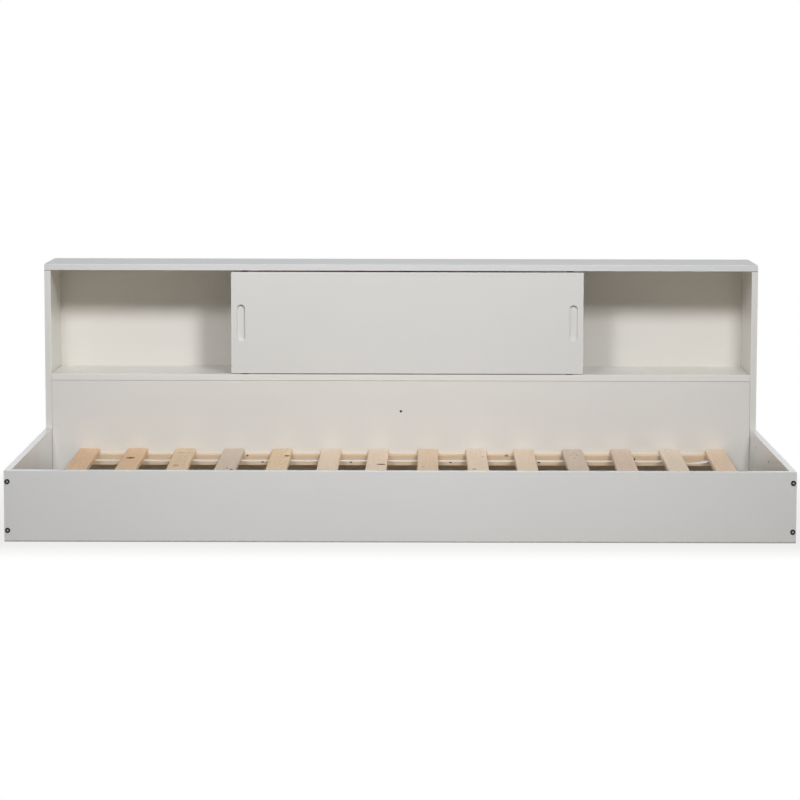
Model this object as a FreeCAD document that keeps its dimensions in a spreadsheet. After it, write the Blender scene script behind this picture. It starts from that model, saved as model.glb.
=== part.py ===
import FreeCAD, Part
import math
import os
from types import SimpleNamespace

import Sketcher

# A low box bed of painted boards with a storage cabinet along its whole rear side.
# X runs along the bed, Y from the front rail to the cabinet's back, Z up from the floor.
# The origin is on the floor, at the middle of the length and of the depth.

SIZES = {
    # Mattress and the room left round it in the well
    "mattress_length": 2000,
    "mattress_width": 900,
    "length_clearance": 24,
    "width_clearance": 10,
    # Painted boards
    "board": 18,
    "edge_radius": 1.2,
    "box_height": 187,
    "cabinet_height": 663,
    "cabinet_depth": 262,
    "compartment_height": 301,
    "lower_panel_setback": 2,
    "back_panel_thickness": 5,
    "rebate_depth": 9,
    "rebate_play": 0.5,
    # Slats, the battens that carry them and the tapes that space them
    "slat_top": 128,
    "slat_thickness": 15,
    "slat_width": 58,
    "slat_margin": 113,
    "slat_shift": 5.5,
    "slat_end_gap": 4,
    "slat_edge_radius": 3,
    "batten_height": 30,
    "batten_depth": 34,
    "batten_margin": 94,
    "ribbon_width": 25,
    "ribbon_thickness": 1,
    "ribbon_inset": 147,
    "staple_crown": 10,
    "staple_wire": 1,
    "staple_leg": 8,
    "staple_play": 0.1,
    # Sliding door, its finger pulls and its guides
    "door_overlap": 6,
    "door_thickness": 16,
    "door_setback": 2,
    "door_top_gap": 4,
    "door_bottom_gap": 2.5,
    "door_shift": 18,
    "door_back_clearance": 4,
    "door_edge_radius": 1.5,
    "pull_length": 105,
    "pull_width": 23,
    "pull_depth": 9,
    "pull_inset": 28.5,
    "guide_inset": 39,
    "guide_length": 22,
    "guide_width": 11,
    "guide_flange": 2,
    "tongue_length": 18,
    "tongue_width": 6,
    "tongue_play": 0.4,
    "tongue_lift": 0.3,
    "plug_diameter": 8,
    "plug_length": 12,
    "plug_play": 0.1,
    "shelf_groove_depth": 6,
    "top_groove_depth": 9,
    # Corner bolts, their socket caps and cross nuts
    "bolt_inset": 29.5,
    "bolt_diameter": 6,
    "bolt_play": 0.5,
    "bolt_length": 62,
    "bolt_end_room": 3,
    "bolt_head_diameter": 13.5,
    "bolt_head_height": 2.5,
    "bolt_head_round": 1,
    "socket_width": 5,
    "socket_depth": 2,
    "socket_play": 0.1,
    "nut_diameter": 10,
    "nut_length": 13,
    "nut_inset": 36,
    "nut_play": 0.15,
    # Cam fittings
    "cam_inset": 24,
    "cam_diameter": 15,
    "cam_floor": 0.5,
    "cam_play": 0.15,
    "cam_bolt_diameter": 6,
    "cam_bolt_head_diameter": 7.4,
    "cam_bolt_head_length": 4,
    "cam_bolt_play": 0.3,
    "cam_thread_diameter": 5,
    "cam_bite": 11,
    "cam_recess_depth": 3,
    "cam_recess_length": 8,
    "cam_recess_width": 1.8,
    "fitting_inset": 51,
    # Dowels
    "dowel_diameter": 8,
    "dowel_face_depth": 11,
    "dowel_edge_depth": 19,
    "dowel_play": 0.15,
    "dowel_end_gap": 0.5,
    "dowel_chamfer": 1,
    "support_dowel_shift": 40,
    # Countersunk screws
    "screw_play": 0.1,
    "batten_screw_diameter": 4,
    "batten_screw_head": 8,
    "batten_screw_bite": 12,
    "panel_screw_diameter": 3,
    "panel_screw_head": 6,
    "panel_screw_bite": 11,
    "centre_screw_diameter": 4,
    "centre_screw_head": 7,
    "centre_screw_bite": 30,
    "centre_screw_drop": 89,
    "drive_recess_depth": 1.4,
    "drive_recess_width": 1,
    # Spare holes in the right end panel
    "spare_hole_diameter": 6,
    "spare_hole_depth": 12,
    "spare_hole_drop": 34,
    "spare_hole_inset": 148,
    "spare_hole_spacing": 315,
    # How far a cut runs past the face that it opens
    "overrun": 5,
}

SIDES = (-1, 1)
# Each slat's place off the even spacing, in shares of the spacing
SLAT_SHIFT_SHARES = (
    -0.019, -0.027, -0.002, -0.048, -0.024, -0.006, -0.034, 0.005, 0.014, -0.003, 0.02, -0.011, 0.009, -0.055
)
# How far each slat drifts to the right from end to end where it lies askew, in shares of its length
SLAT_SKEW_SHARES = (
    -0.013, -0.009, -0.014, 0.006, 0.001, 0.004, 0.011, 0.007, 0.006, 0.008, 0.008, 0.022, 0.023, 0.032
)
# Screws along half a batten, in shares of its half length, and up it, in a share of its height
BATTEN_SCREW_SHARES = (0.157, 0.436, 0.715, 0.97)
BATTEN_SCREW_HEIGHT_SHARE = 0.37
# Screws along half the back panel's upper and lower edges, and up its ends
PANEL_SCREW_SHARES = (0.06, 0.36, 0.66, 0.95)
PANEL_SCREW_RISE_SHARES = (0.25, 0.5, 0.75)
# Heights of the lower panel's end fittings, in shares of its height
LOWER_CAM_SHARES = (0.2, 0.83)
LOWER_DOWEL_SHARE = 0.62
# Screw drive recesses, in shares of the head's diameter
DRIVE_LENGTH_SHARE = 0.55

doc = FreeCAD.newDocument("box_bed")


class Size:
    """A length: its number now, and the same sum on the sheet's cells as an expression."""

    def __init__(self, value, text):
        self.value = value
        self.text = text

    def __add__(self, other):
        return Size(self.value + other.value, f"({self.text} + {other.text})")

    def __sub__(self, other):
        return Size(self.value - other.value, f"({self.text} - {other.text})")

    def __mul__(self, share):
        return Size(self.value * share, f"({self.text} * ({share:.9g}))")

    __rmul__ = __mul__

    def __truediv__(self, share):
        return Size(self.value / share, f"({self.text} / ({share:.9g}))")

    def __neg__(self):
        return Size(-self.value, f"(0 - {self.text})")


def read_sizes():
    """Fill the sheet with the named lengths and hand each back as a Size."""
    sheet = doc.addObject("Spreadsheet::Sheet", "sizes")
    named = {}
    for row, (name, value) in enumerate(SIZES.items(), start=1):
        sheet.set(f"A{row}", name)
        sheet.set(f"B{row}", str(value))
        sheet.setAlias(f"B{row}", name)
        named[name] = Size(value, f"sizes.{name}")
    doc.recompute()
    return SimpleNamespace(**named)


size = read_sizes()
ZERO = Size(0, "0")

# The plane that a sketch square to each axis lies in, and which way along the axis it faces
PLANES = {"x": ("YZ_Plane", 1), "y": ("XZ_Plane", -1), "z": ("XY_Plane", 1)}
# The two directions that such a sketch's own axes run in
SKETCH_AXES = {"x": (1, 2), "y": (0, 2), "z": (0, 1)}

finished = []


def place(item, at, rotation=FreeCAD.Rotation()):
    """Put an object at three sizes, so that it moves with the sheet."""
    item.Placement = FreeCAD.Placement(FreeCAD.Vector(*(axis.value for axis in at)), rotation)
    for letter, axis in zip("xyz", at):
        item.setExpression(f"Placement.Base.{letter}", axis.text)


class Piece:
    """One body, made from sketches on its own origin planes."""

    def __init__(self, label):
        self.body = doc.addObject("PartDesign::Body", label)
        self.body.Label = label

    def sketch(self, axis, offset):
        role, facing = PLANES[axis]
        sketch = self.body.newObject("Sketcher::SketchObject", "sketch")
        plane = next(item for item in self.body.Origin.OriginFeatures if item.Role == role)
        sketch.AttachmentSupport = [(plane, "")]
        sketch.MapMode = "FlatFace"
        sketch.setExpression("AttachmentOffset.Base.z", (offset * facing).text)
        return sketch

    def add(self, kind, sketch, axis, start, end):
        """A Pad or Pocket from one place on the axis to another."""
        feature = self.body.newObject(f"PartDesign::{kind}", kind.lower())
        feature.Profile = sketch
        rising = end.value > start.value
        feature.setExpression("Length", (end - start if rising else start - end).text)
        along_normal = rising == (PLANES[axis][1] > 0)
        feature.Reversed = along_normal if kind == "Pocket" else not along_normal
        return feature

    def block(self, low, high, axis, radius=None):
        """A board between two corners, sawn as a sheet square to the axis, its arrises eased."""
        level = "xyz".index(axis)
        across, up = SKETCH_AXES[axis]
        sketch = self.sketch(axis, low[level])
        rectangle(sketch, (low[across], low[up]), (high[across], high[up]))
        pad = self.add("Pad", sketch, axis, low[level], high[level])
        if radius:
            doc.recompute()
            ease = self.body.newObject("PartDesign::Fillet", "ease")
            ease.Base = (pad, ["Edge1"])
            ease.UseAllEdges = True
            ease.setExpression("Radius", radius.text)
        return self

    def drill(self, axis, centres, diameter, start, end):
        sketch = self.sketch(axis, start)
        for centre in centres:
            circle(sketch, centre, diameter)
        self.add("Pocket", sketch, axis, start, end)
        return self

    def mill(self, axis, low, high, start, end):
        sketch = self.sketch(axis, start)
        rectangle(sketch, low, high)
        self.add("Pocket", sketch, axis, start, end)
        return self

    def sink(self, axis, centres, diameter, head, start, end):
        """Screw holes right through, widened to a cone at the face where the heads sit."""
        sketch = self.sketch(axis, start)
        for centre in centres:
            circle(sketch, centre, diameter)
        doc.recompute()
        hole = self.body.newObject("PartDesign::Hole", "hole")
        hole.Profile = sketch
        hole.ThreadType = "None"
        hole.DepthType = "ThroughAll"
        hole.HoleCutType = "Countersink"
        hole.setExpression("Diameter", diameter.text)
        hole.setExpression("HoleCutDiameter", head.text)
        hole.HoleCutCountersinkAngle = 90
        rising = end.value > start.value
        hole.Reversed = rising == (PLANES[axis][1] > 0)
        return self

    def at(self, x, y, z, rotation=FreeCAD.Rotation()):
        place(self.body, (x, y, z), rotation)
        finished.append(self.body)
        return self


def pin(sketch, shape, point, place_across, place_up):
    """Hold a point of a sketch at two sizes from the sketch's origin."""
    for kind, wanted in (("DistanceX", place_across), ("DistanceY", place_up)):
        held = sketch.addConstraint(Sketcher.Constraint(kind, -1, 1, shape, point, wanted.value))
        sketch.setExpression(f"Constraints[{held}]", wanted.text)


def outline(sketch, points):
    """A closed outline of straight lines with every corner pinned."""
    corners = [FreeCAD.Vector(across.value, up.value, 0) for across, up in points]
    first = sketch.GeometryCount
    for number, corner in enumerate(corners):
        sketch.addGeometry(Part.LineSegment(corner, corners[(number + 1) % len(corners)]))
    for number, (across, up) in enumerate(points):
        line = first + number
        following = first + (number + 1) % len(points)
        sketch.addConstraint(Sketcher.Constraint("Coincident", line, 2, following, 1))
        pin(sketch, line, 1, across, up)


def rectangle(sketch, low, high):
    outline(sketch, [low, (high[0], low[1]), high, (low[0], high[1])])


def circle(sketch, centre, diameter):
    middle = FreeCAD.Vector(centre[0].value, centre[1].value, 0)
    ring = sketch.addGeometry(Part.Circle(middle, FreeCAD.Vector(0, 0, 1), diameter.value / 2))
    width = sketch.addConstraint(Sketcher.Constraint("Diameter", ring, diameter.value))
    sketch.setExpression(f"Constraints[{width}]", diameter.text)
    pin(sketch, ring, 3, *centre)


def rounded_slot(sketch, centre, length, width):
    """An upright slot with half-round ends, as a router bit leaves it."""
    across, up = centre
    half_run = (length - width) / 2
    left, right = across - width / 2, across + width / 2
    ends = (up - half_run, up + half_run)
    radius = width.value / 2
    normal = FreeCAD.Vector(0, 0, 1)
    arcs = []
    for end, angles in zip(ends, ((math.pi, math.tau), (0, math.pi))):
        middle = FreeCAD.Vector(across.value, end.value, 0)
        arcs.append(sketch.addGeometry(Part.ArcOfCircle(Part.Circle(middle, normal, radius), *angles)))
    lines = []
    for side in (right, left):
        corners = [FreeCAD.Vector(side.value, end.value, 0) for end in ends]
        lines.append(sketch.addGeometry(Part.LineSegment(*corners)))
    lower, upper = arcs
    for arc, arc_end, line, line_end in (
        (lower, 2, lines[0], 1),
        (upper, 1, lines[0], 2),
        (upper, 2, lines[1], 2),
        (lower, 1, lines[1], 1),
    ):
        sketch.addConstraint(Sketcher.Constraint("Tangent", arc, arc_end, line, line_end))
    pin(sketch, lower, 3, across, ends[0])
    pin(sketch, upper, 3, across, ends[1])
    reach = sketch.addConstraint(Sketcher.Constraint("Radius", lower, radius))
    sketch.setExpression(f"Constraints[{reach}]", (width / 2).text)


def turned(label, profile):
    """A piece turned on a lathe: a profile of radius and height, spun about the Z axis."""
    piece = Piece(label)
    sketch = piece.sketch("y", ZERO)
    outline(sketch, profile)
    spin = piece.body.newObject("PartDesign::Revolution", "revolution")
    spin.Profile = sketch
    spin.ReferenceAxis = (sketch, ["V_Axis"])
    spin.Angle = 360
    return piece


def hexagon(width):
    """Corners of a hexagon of this width across its flats."""
    reach = width / math.sqrt(3)
    turns = [math.tau * corner / 6 for corner in range(6)]
    return [(reach * math.cos(turn), reach * math.sin(turn)) for turn in turns]


def turn(up, across):
    """The rotation that takes a piece's own Z to one direction and its X to another."""
    up, across = FreeCAD.Vector(*up), FreeCAD.Vector(*across)
    return FreeCAD.Rotation(across, up.cross(across), up, "ZXY")


def lean(direction):
    """The rotation that takes a piece's own Z to a direction."""
    return FreeCAD.Rotation(FreeCAD.Vector(0, 0, 1), FreeCAD.Vector(*direction))


def copies(label, master, places):
    """A group of like fasteners: one copy of the master at each place and rotation."""
    links = []
    for at, rotation in places:
        link = doc.addObject("App::Link", f"{label}_copy")
        link.LinkedObject = master.body
        place(link, at, rotation)
        links.append(link)
    group = doc.addObject("Part::Compound", label)
    group.Label = label
    group.Links = links
    finished.append(group)


# Places that several pieces share
half_inside = (size.mattress_length + size.length_clearance) / 2
half_outside = half_inside + size.board
well_width = size.mattress_width + size.width_clearance
depth = size.board + well_width + size.cabinet_depth
front = -depth / 2
rail_back = front + size.board
cabinet_front = rail_back + well_width
cabinet_back = depth / 2
side_top = size.cabinet_height - size.board
shelf_top = side_top - size.compartment_height
shelf_bottom = shelf_top - size.board
half_board = size.board / 2
board_middle = half_inside + half_board
shelf_middle = shelf_bottom + half_board
box_middle = size.box_height / 2
bolt_heights = (size.bolt_inset, size.box_height - size.bolt_inset)
lower_panel_front = cabinet_front + size.lower_panel_setback
lower_panel_middle = size.lower_panel_setback + half_board
lower_panel_rear = size.lower_panel_setback + size.board
lower_cam_heights = [shelf_bottom * share for share in LOWER_CAM_SHARES]
lower_dowel_height = shelf_bottom * LOWER_DOWEL_SHARE
centre_screw_height = shelf_bottom - size.centre_screw_drop
inner_depth = size.cabinet_depth - size.back_panel_thickness
fitting_depths = (size.fitting_inset, size.cabinet_depth - size.fitting_inset)
fitting_middle = size.cabinet_depth / 2
support_depths = (
    size.fitting_inset + size.support_dowel_shift,
    size.cabinet_depth - size.fitting_inset - size.support_dowel_shift,
)

# Holes that take a fastener are wider than it by the fastener's play all round
bolt_hole = size.bolt_diameter + 2 * size.bolt_play
nut_hole = size.nut_diameter + 2 * size.nut_play
nut_hole_depth = half_board + size.nut_length / 2 + size.nut_play
dowel_hole = size.dowel_diameter + 2 * size.dowel_play
dowel_face_hole = size.dowel_face_depth + size.dowel_end_gap
dowel_edge_hole = size.dowel_edge_depth + size.dowel_end_gap
cam_hole = size.cam_diameter + 2 * size.cam_play
cam_thickness = half_board + size.cam_bolt_head_diameter / 2 + size.cam_floor
cam_hole_depth = cam_thickness + size.cam_play
cam_bolt_hole = size.cam_bolt_head_diameter + 2 * size.cam_bolt_play
cam_thread_hole = size.cam_thread_diameter + 2 * size.screw_play
cam_bite_hole = size.cam_bite + size.dowel_end_gap
batten_screw_hole = size.batten_screw_diameter + 2 * size.screw_play
batten_screw_sink = size.batten_screw_head + 2 * size.screw_play
batten_screw_pilot = size.batten_screw_bite + size.dowel_end_gap
panel_screw_hole = size.panel_screw_diameter + 2 * size.screw_play
panel_screw_sink = size.panel_screw_head + 2 * size.screw_play
panel_screw_pilot = size.panel_screw_bite + size.dowel_end_gap
centre_screw_hole = size.centre_screw_diameter + 2 * size.screw_play
centre_screw_sink = size.centre_screw_head + 2 * size.screw_play
centre_screw_pilot = size.centre_screw_bite + size.dowel_end_gap

# Slats and battens
slat_bottom = size.slat_top - size.slat_thickness
slat_length = well_width + size.lower_panel_setback - 2 * size.slat_end_gap
slat_middle = rail_back + size.slat_end_gap + slat_length / 2
slat_count = len(SLAT_SHIFT_SHARES)
slat_pitch = (half_inside - size.slat_margin) * 2 / (slat_count - 1)
slat_centres = [
    size.slat_shift + slat_pitch * (number - (slat_count - 1) / 2 + share)
    for number, share in enumerate(SLAT_SHIFT_SHARES)
]
slat_skews = [math.atan(share) for share in SLAT_SKEW_SHARES]
slat_turns = [FreeCAD.Rotation(FreeCAD.Vector(0, 0, -1), math.degrees(skew)) for skew in slat_skews]
ribbon_places = [(slat_length / 2 - size.ribbon_inset) * side for side in SIDES]
staple_half = size.staple_crown / 2
staple_hole = size.staple_wire + 2 * size.staple_play
half_batten = half_inside - size.batten_margin
batten_bottom = slat_bottom - size.batten_height
batten_screw_height = size.batten_height * BATTEN_SCREW_HEIGHT_SHARE
batten_screw_places = [half_batten * share * side for side in SIDES for share in BATTEN_SCREW_SHARES]
batten_pilot_centres = [(across, batten_bottom + batten_screw_height) for across in batten_screw_places]

# Sliding door and its grooves
door_width = half_inside + size.door_overlap
door_height = size.compartment_height - size.door_top_gap - size.door_bottom_gap
half_door = door_width / 2
door_middle = size.door_setback + size.door_thickness / 2
half_groove = size.tongue_width / 2 + size.tongue_play
groove_low = (-half_inside, door_middle - half_groove)
groove_high = (half_inside, door_middle + half_groove)
divider_setback = size.door_setback + size.door_thickness + size.door_back_clearance

# Back panel and its screws
half_rebate = half_inside + size.rebate_depth
panel_height = side_top + size.rebate_depth - shelf_bottom - size.rebate_play
panel_screw_rises = [shelf_bottom + (side_top - shelf_bottom) * share for share in PANEL_SCREW_RISE_SHARES]
panel_screw_across = [half_inside * share * side for side in SIDES for share in PANEL_SCREW_SHARES]


def front_rail():
    """Board along the bed's front, drilled for the corner bolts, dowels and batten screws."""
    rail = Piece("front_rail")
    rail.block(
        (-half_outside, ZERO, ZERO), (half_outside, size.board, size.box_height), "y", size.edge_radius
    )
    corners = [(board_middle * side, height) for side in SIDES for height in bolt_heights]
    rail.drill("y", corners, bolt_hole, ZERO, size.board)
    dowels = [(board_middle * side, box_middle) for side in SIDES]
    rail.drill("y", dowels, dowel_hole, size.board, size.board - dowel_face_hole)
    rail.drill("y", batten_pilot_centres, batten_screw_hole, size.board, size.board - batten_screw_pilot)
    rail.at(ZERO, front, ZERO)


def end_panel(label, side):
    """Board from the front rail to the cabinet, with cross nuts in front and cams behind."""
    panel = Piece(label)
    inner, outer = sorted((ZERO, size.board * side), key=lambda place: place.value)
    panel.block(
        (inner, ZERO, ZERO), (outer, well_width, size.box_height), "x", size.edge_radius
    )
    bolts = [(half_board * side, height) for height in bolt_heights]
    dowel = [(half_board * side, box_middle)]
    panel.drill("y", bolts, bolt_hole, ZERO, size.bolt_length - size.board + size.bolt_end_room)
    panel.drill("y", dowel, dowel_hole, ZERO, dowel_edge_hole)
    panel.drill("y", bolts, cam_bolt_hole, well_width, well_width - size.cam_inset)
    panel.drill("y", dowel, dowel_hole, well_width, well_width - dowel_edge_hole)
    nuts = [(size.nut_inset, height) for height in bolt_heights]
    panel.drill("x", nuts, nut_hole, ZERO, nut_hole_depth * side)
    cams = [(well_width - size.cam_inset, height) for height in bolt_heights]
    panel.drill("x", cams, cam_hole, ZERO, cam_hole_depth * side)
    if side > 0:
        spare_height = size.box_height - size.spare_hole_drop
        spare_back = well_width - size.spare_hole_inset
        spares = [(spare_back - size.spare_hole_spacing, spare_height), (spare_back, spare_height)]
        panel.drill("x", spares, size.spare_hole_diameter, ZERO, size.spare_hole_depth * side)
    panel.at(half_inside * side, rail_back, ZERO)


def batten(label, face, far, at_depth):
    """Pine bearer for the slats' ends, with screw heads sunk in the face away from its board."""
    bearer = Piece(label)
    bearer.block(
        (-half_batten, ZERO, ZERO),
        (half_batten, size.batten_depth, size.batten_height),
        "z",
        size.edge_radius,
    )
    centres = [(across, batten_screw_height) for across in batten_screw_places]
    bearer.sink("y", centres, batten_screw_hole, batten_screw_sink, face, far)
    bearer.at(ZERO, at_depth, batten_bottom)


def slat(number):
    """Pine slat with holes in its underside for the legs of its two staples."""
    board = Piece(f"slat_{number + 1:02d}")
    board.block(
        (-size.slat_width / 2, -slat_length / 2, ZERO),
        (size.slat_width / 2, slat_length / 2, size.slat_thickness),
        "z",
        size.slat_edge_radius,
    )
    legs = [(staple_half * side, along) for side in SIDES for along in ribbon_places]
    board.drill("z", legs, staple_hole, ZERO, size.staple_leg + size.staple_play)
    board.at(slat_centres[number], slat_middle, slat_bottom, slat_turns[number])


def on_slat(number, across, along):
    """Where a point of a slat as it lies falls, from the bed's middle and from the slats' middle."""
    cosine, sine = math.cos(slat_skews[number]), math.sin(slat_skews[number])
    return slat_centres[number] + across * cosine + along * sine, along * cosine - across * sine


def ribbon(label, along):
    """Webbing tape under the slats, pierced by the staples."""
    tape = Piece(label)
    half = size.ribbon_width / 2
    left_end, _ = on_slat(0, -size.slat_width / 2, along)
    right_end, _ = on_slat(slat_count - 1, size.slat_width / 2, along)
    tape.block((left_end, -half, -size.ribbon_thickness), (right_end, half, ZERO), "z")
    legs = [on_slat(number, staple_half * side, along) for number in range(slat_count) for side in SIDES]
    tape.drill("z", [(across, up - along) for across, up in legs], staple_hole, ZERO, -size.ribbon_thickness)
    tape.at(ZERO, slat_middle + along, slat_bottom)


def ribbon_staples():
    """Wire staples, crown under the tape and legs up into the slat."""
    staple = Piece("staple")
    half_crown = staple_half + size.staple_wire / 2
    half_wire = size.staple_wire / 2
    staple.block((-half_crown, -half_wire, -size.staple_wire), (half_crown, half_wire, ZERO), "z")
    legs = staple.sketch("z", -half_wire)
    for side in SIDES:
        circle(legs, (staple_half * side, ZERO), size.staple_wire)
    staple.add("Pad", legs, "z", -half_wire, size.ribbon_thickness + size.staple_leg)
    level = slat_bottom - size.ribbon_thickness
    places = []
    for along in ribbon_places:
        for number, rotation in enumerate(slat_turns):
            across, up = on_slat(number, ZERO, along)
            places.append(((across, slat_middle + up, level), rotation))
    copies("ribbon_staples", staple, places)


def cabinet_side(label, side):
    """Upright end of the cabinet, rebated for the back panel and drilled for its fittings."""
    upright = Piece(label)
    inner, outer = sorted((ZERO, size.board * side), key=lambda place: place.value)
    upright.block((inner, ZERO, ZERO), (outer, size.cabinet_depth, side_top), "x", size.edge_radius)
    past_back = size.cabinet_depth + size.overrun
    past_top = side_top + size.overrun
    upright.mill("x", (inner_depth, shelf_bottom), (past_back, past_top), ZERO, size.rebate_depth * side)
    fronts = [(half_board * side, height) for height in bolt_heights]
    upright.drill("y", fronts, cam_thread_hole, ZERO, cam_bite_hole)
    upright.drill("y", [(half_board * side, box_middle)], dowel_hole, ZERO, dowel_face_hole)
    tops = [(half_board * side, along) for along in fitting_depths]
    upright.drill("z", tops, cam_bolt_hole, side_top, side_top - size.cam_inset)
    upright.drill(
        "z", [(half_board * side, fitting_middle)], dowel_hole, side_top, side_top - dowel_edge_hole
    )
    cams = [(along, side_top - size.cam_inset) for along in fitting_depths]
    upright.drill("x", cams, cam_hole, ZERO, cam_hole_depth * side)
    threads = [(along, shelf_middle) for along in fitting_depths]
    threads += [(lower_panel_middle, height) for height in lower_cam_heights]
    upright.drill("x", threads, cam_thread_hole, ZERO, cam_bite_hole * side)
    dowels = [(fitting_middle, shelf_middle), (lower_panel_middle, lower_dowel_height)]
    upright.drill("x", dowels, dowel_hole, ZERO, dowel_face_hole * side)
    screws = [(size.rebate_depth / 2 * side, height) for height in panel_screw_rises]
    upright.drill("y", screws, panel_screw_hole, inner_depth, inner_depth - panel_screw_pilot)
    upright.at(half_inside * side, cabinet_front, ZERO)


def cabinet_top():
    """Board over both sides, grooved underneath for the door's upper guides."""
    lid = Piece("cabinet_top")
    lid.block(
        (-half_outside, ZERO, ZERO), (half_outside, size.cabinet_depth, size.board), "z", size.edge_radius
    )
    past_back = size.cabinet_depth + size.overrun
    lid.mill("z", (-half_rebate, inner_depth), (half_rebate, past_back), ZERO, size.rebate_depth)
    lid.mill("z", groove_low, groove_high, ZERO, size.top_groove_depth)
    threads = [(board_middle * side, along) for side in SIDES for along in fitting_depths]
    lid.drill("z", threads, cam_thread_hole, ZERO, cam_bite_hole)
    dowels = [(board_middle * side, fitting_middle) for side in SIDES]
    dowels += [(ZERO, along) for along in fitting_depths]
    lid.drill("z", dowels, dowel_hole, ZERO, dowel_face_hole)
    screws = [(across, size.rebate_depth / 2) for across in panel_screw_across]
    lid.drill("y", screws, panel_screw_hole, inner_depth, inner_depth - panel_screw_pilot)
    lid.at(ZERO, cabinet_front, side_top)


def cabinet_shelf():
    """Board between the sides, grooved on top for the door's glides, with cams underneath."""
    shelf = Piece("cabinet_shelf")
    shelf.block((-half_inside, ZERO, ZERO), (half_inside, inner_depth, size.board), "z", size.edge_radius)
    shelf.mill("z", groove_low, groove_high, size.board, size.board - size.shelf_groove_depth)
    ends = [(along, half_board) for along in fitting_depths]
    for side in SIDES:
        end = half_inside * side
        shelf.drill("x", ends, cam_bolt_hole, end, end - size.cam_inset * side)
        shelf.drill("x", [(fitting_middle, half_board)], dowel_hole, end, end - dowel_edge_hole * side)
    cam_place = half_inside - size.cam_inset
    cams = [(cam_place * side, along) for side in SIDES for along in fitting_depths]
    shelf.drill("z", cams, cam_hole, ZERO, cam_hole_depth)
    above = [(ZERO, along) for along in fitting_depths]
    shelf.drill("z", above, dowel_hole, size.board, size.board - dowel_face_hole)
    below = [(ZERO, along) for along in support_depths]
    shelf.drill("z", below, dowel_hole, ZERO, dowel_face_hole)
    screws = [(across, half_board) for across in panel_screw_across]
    shelf.drill("y", screws, panel_screw_hole, inner_depth, inner_depth - panel_screw_pilot)
    shelf.at(ZERO, cabinet_front, shelf_bottom)


def lower_panel():
    """Board under the shelf that closes the rear of the mattress well and carries a batten."""
    panel = Piece("lower_panel")
    panel.block((-half_inside, ZERO, ZERO), (half_inside, size.board, shelf_bottom), "y", size.edge_radius)
    panel.drill("y", batten_pilot_centres, batten_screw_hole, ZERO, batten_screw_pilot)
    ends = [(half_board, height) for height in lower_cam_heights]
    for side in SIDES:
        end = half_inside * side
        panel.drill("x", ends, cam_bolt_hole, end, end - size.cam_inset * side)
        panel.drill("x", [(half_board, lower_dowel_height)], dowel_hole, end, end - dowel_edge_hole * side)
    cam_place = half_inside - size.cam_inset
    cams = [(cam_place * side, height) for side in SIDES for height in lower_cam_heights]
    panel.drill("y", cams, cam_hole, size.board, size.board - cam_hole_depth)
    panel.sink("y", [(ZERO, centre_screw_height)], centre_screw_hole, centre_screw_sink, ZERO, size.board)
    panel.at(ZERO, lower_panel_front, ZERO)


def centre_divider():
    """Upright board behind the door that carries the top at mid length."""
    divider = Piece("centre_divider")
    divider.block(
        (-half_board, ZERO, ZERO),
        (half_board, inner_depth - divider_setback, size.compartment_height),
        "x",
        size.edge_radius,
    )
    dowels = [(ZERO, along - divider_setback) for along in fitting_depths]
    divider.drill("z", dowels, dowel_hole, ZERO, dowel_edge_hole)
    divider.drill(
        "z", dowels, dowel_hole, size.compartment_height, size.compartment_height - dowel_edge_hole
    )
    divider.at(ZERO, cabinet_front + divider_setback, shelf_top)


def centre_support():
    """Upright board behind the lower panel that carries the shelf at mid length."""
    support = Piece("centre_support")
    support.block(
        (-half_board, ZERO, ZERO),
        (half_board, inner_depth - lower_panel_rear, shelf_bottom),
        "x",
        size.edge_radius,
    )
    dowels = [(ZERO, along - lower_panel_rear) for along in support_depths]
    support.drill("z", dowels, dowel_hole, shelf_bottom, shelf_bottom - dowel_edge_hole)
    support.drill("y", [(ZERO, centre_screw_height)], centre_screw_hole, ZERO, centre_screw_pilot)
    support.at(ZERO, cabinet_front + lower_panel_rear, ZERO)


def cabinet_back_panel():
    """Thin panel let into the rear edges of the sides and top, over the shelf's rear edge."""
    panel = Piece("cabinet_back_panel")
    half = half_rebate - size.rebate_play
    panel.block((-half, ZERO, ZERO), (half, size.back_panel_thickness, panel_height), "y")
    rear = size.back_panel_thickness
    centres = [(across, up - shelf_bottom) for across, up in panel_screw_centres()]
    panel.sink("y", centres, panel_screw_hole, panel_screw_sink, rear, ZERO)
    panel.at(ZERO, cabinet_front + inner_depth, shelf_bottom)


def panel_screw_centres():
    """Where the back panel is screwed: up both ends, along the top and along the shelf."""
    edge = half_inside + size.rebate_depth / 2
    ends = [(edge * side, height) for side in SIDES for height in panel_screw_rises]
    upper = [(across, side_top + size.rebate_depth / 2) for across in panel_screw_across]
    lower = [(across, shelf_middle) for across in panel_screw_across]
    return ends + upper + lower


def sliding_door():
    """Door over half the front, with a routed finger pull near each end."""
    door = Piece("sliding_door")
    door.block(
        (-half_door, ZERO, ZERO), (half_door, size.door_thickness, door_height), "y", size.door_edge_radius
    )
    pulls = door.sketch("y", ZERO)
    for side in SIDES:
        centre = ((half_door - size.pull_inset) * side, door_height / 2)
        rounded_slot(pulls, centre, size.pull_length, size.pull_width)
    door.add("Pocket", pulls, "y", ZERO, size.pull_depth)
    plug_hole = size.plug_diameter + 2 * size.plug_play
    plug_depth = size.plug_length + size.plug_play
    plugs = [((half_door - size.guide_inset) * side, size.door_thickness / 2) for side in SIDES]
    door.drill("z", plugs, plug_hole, ZERO, plug_depth)
    door.drill("z", plugs, plug_hole, door_height, door_height - plug_depth)
    door.at(size.door_shift, cabinet_front + size.door_setback, shelf_top + size.door_bottom_gap)


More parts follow.
